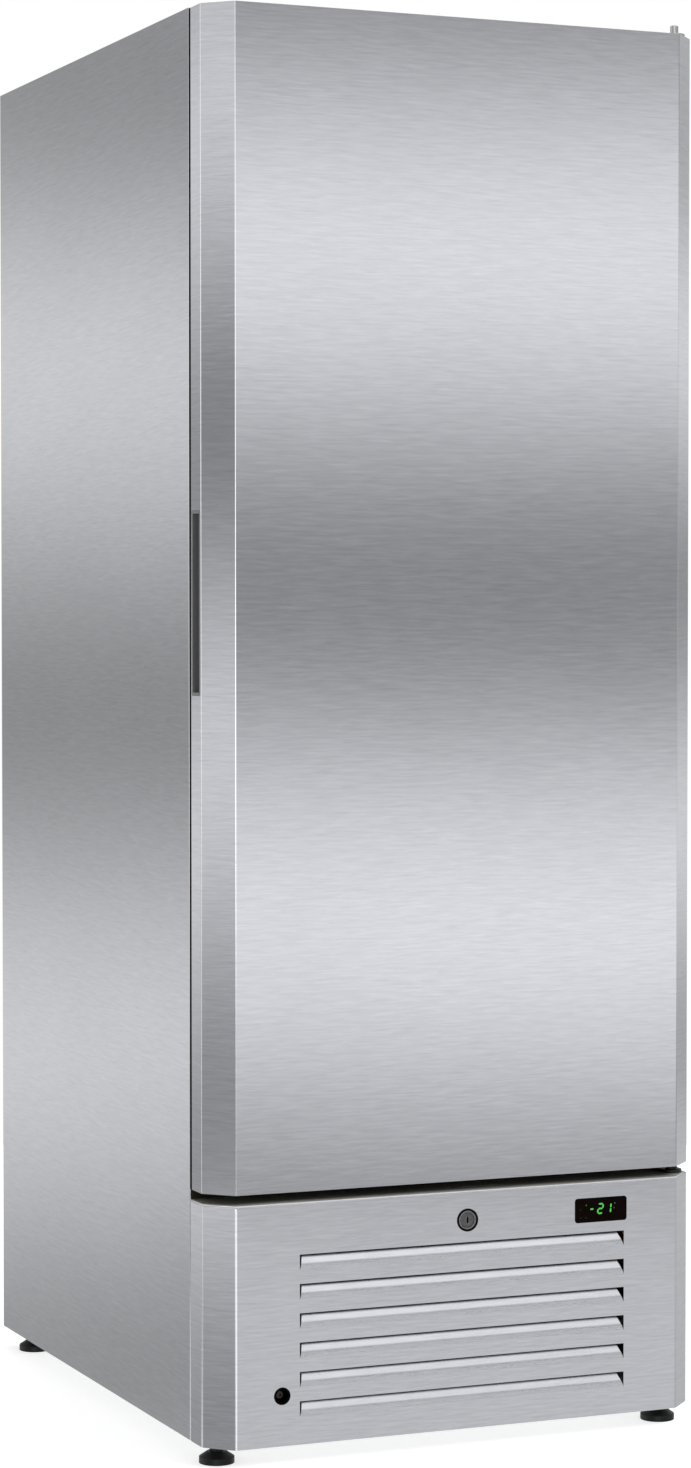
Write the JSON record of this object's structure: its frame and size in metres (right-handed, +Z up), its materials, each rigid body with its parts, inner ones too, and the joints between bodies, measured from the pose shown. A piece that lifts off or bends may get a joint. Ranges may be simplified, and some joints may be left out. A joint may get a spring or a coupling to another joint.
{
  "type": "upright freezer",
  "caption": "Tall stainless upright freezer with one full door, side grip, louvred lower panel with lock and display, wire shelves and levelling feet.",
  "frame": {"origin": "on the floor under the middle of the object's box", "axes": "+Z up, -Y towards the person who opens the door, +X to that person's right"},
  "size_m": [0.7, 0.8856, 1.88],
  "materials": {
    "stainless": "satin",
    "galvanised": "satin",
    "foam": "matte",
    "liner_steel": "satin",
    "white_plastic": "satin",
    "grey_plastic": "matte",
    "black_plastic": "matte",
    "black_rubber": "matte",
    "magnet": "matte",
    "zinc_steel": "satin",
    "dark_zinc": "satin",
    "display": "gloss",
    "black_enamel": "gloss",
    "copper": "satin",
    "fin_aluminium": "satin",
    "shelf_coating": "gloss",
    "nylon": "matte",
    "enclosure": "matte"
  },
  "bodies": {
    "cabinet": {"side_panel_left": "stainless", "side_panel_right": "stainless", "top_panel": "stainless", "back_panel": "galvanised", "box_floor_panel": "galvanised", "cabinet_insulation": "foam", "inner_liner": "liner_steel", "breaker_strip": "white_plastic", "base_tray": "galvanised", "bottom_hinge": "zinc_steel", "top_hinge": "zinc_steel", "screws": "zinc_steel", "lower_front_panel": "stainless", "lock_ring": "black_plastic", "lock_nut": "zinc_steel", "controller_housing": "black_plastic", "controller_lens": "display", "panel_screw_cup": "black_plastic", "shelf_pilasters": "liner_steel", "shelf_clips": "liner_steel", "wire_shelf_1": "shelf_coating", "wire_shelf_2": "shelf_coating", "wire_shelf_3": "shelf_coating", "wire_shelf_4": "shelf_coating", "evaporator_fan_motor": "zinc_steel", "condenser_fan_motor": "zinc_steel", "condenser_coil": "copper", "condenser_fins": "fin_aluminium", "condenser_shroud": "galvanised", "evaporator_coil": "copper", "evaporator_fins": "fin_aluminium", "evaporator_cover": "liner_steel", "defrost_heater": "galvanised", "evaporator_drip_pan": "white_plastic", "drain_hose": "black_rubber", "compressor": "black_enamel", "compressor_mounts": "black_rubber", "compressor_start_box": "black_plastic", "evaporation_tray": "white_plastic", "electrical_box": "enclosure", "refrigerant_pipes": "copper", "rear_grille": "galvanised", "cable_gland": "black_plastic"},
    "door": {"door_outer_skin": "stainless", "door_grip": "grey_plastic", "door_bottom_cap": "black_plastic", "door_top_cap": "black_plastic", "door_inner_panel": "white_plastic", "door_insulation": "foam", "door_gasket": "black_rubber", "gasket_magnets": "magnet", "hinge_bushes": "nylon"},
    "lock": {"lock_barrel": "dark_zinc", "lock_cam": "zinc_steel"},
    "evaporator_fan": {"evaporator_fan_blade": "black_plastic"},
    "condenser_fan": {"condenser_fan_blade": "black_plastic"},
    "foot_front_left": {"foot_front_left": "black_rubber"},
    "foot_front_right": {"foot_front_right": "black_rubber"},
    "foot_rear_left": {"foot_rear_left": "black_rubber"},
    "foot_rear_right": {"foot_rear_right": "black_rubber"}
  },
  "joints": [
    {"name": "door_hinge", "type": "hinge", "parent": "cabinet", "child": "door", "pos_m": [0.3285, -0.40325, 1.108], "axis": [0, 0, 1], "range_deg": [0, 110]},
    {"name": "lock_turn", "type": "hinge", "parent": "cabinet", "child": "lock", "pos_m": [0.008, -0.41595, 0.301], "axis": [0, -1, 0], "range_deg": [0, 90]},
    {"name": "evaporator_fan_spin", "type": "hinge", "parent": "cabinet", "child": "evaporator_fan", "pos_m": [0, 0.31755, 1.33], "axis": [0, 1, 0], "continuous": true},
    {"name": "condenser_fan_spin", "type": "hinge", "parent": "cabinet", "child": "condenser_fan", "pos_m": [0.005, -0.28725, 0.164], "axis": [0, 1, 0], "continuous": true},
    {"name": "foot_front_left_screw", "type": "slide", "parent": "cabinet", "child": "foot_front_left", "axis": [0, 0, 1], "range_m": [-0.015, 0.006]},
    {"name": "foot_front_right_screw", "type": "slide", "parent": "cabinet", "child": "foot_front_right", "axis": [0, 0, 1], "range_m": [-0.015, 0.006]},
    {"name": "foot_rear_left_screw", "type": "slide", "parent": "cabinet", "child": "foot_rear_left", "axis": [0, 0, 1], "range_m": [-0.015, 0.006]},
    {"name": "foot_rear_right_screw", "type": "slide", "parent": "cabinet", "child": "foot_rear_right", "axis": [0, 0, 1], "range_m": [-0.015, 0.006]}
  ]
}
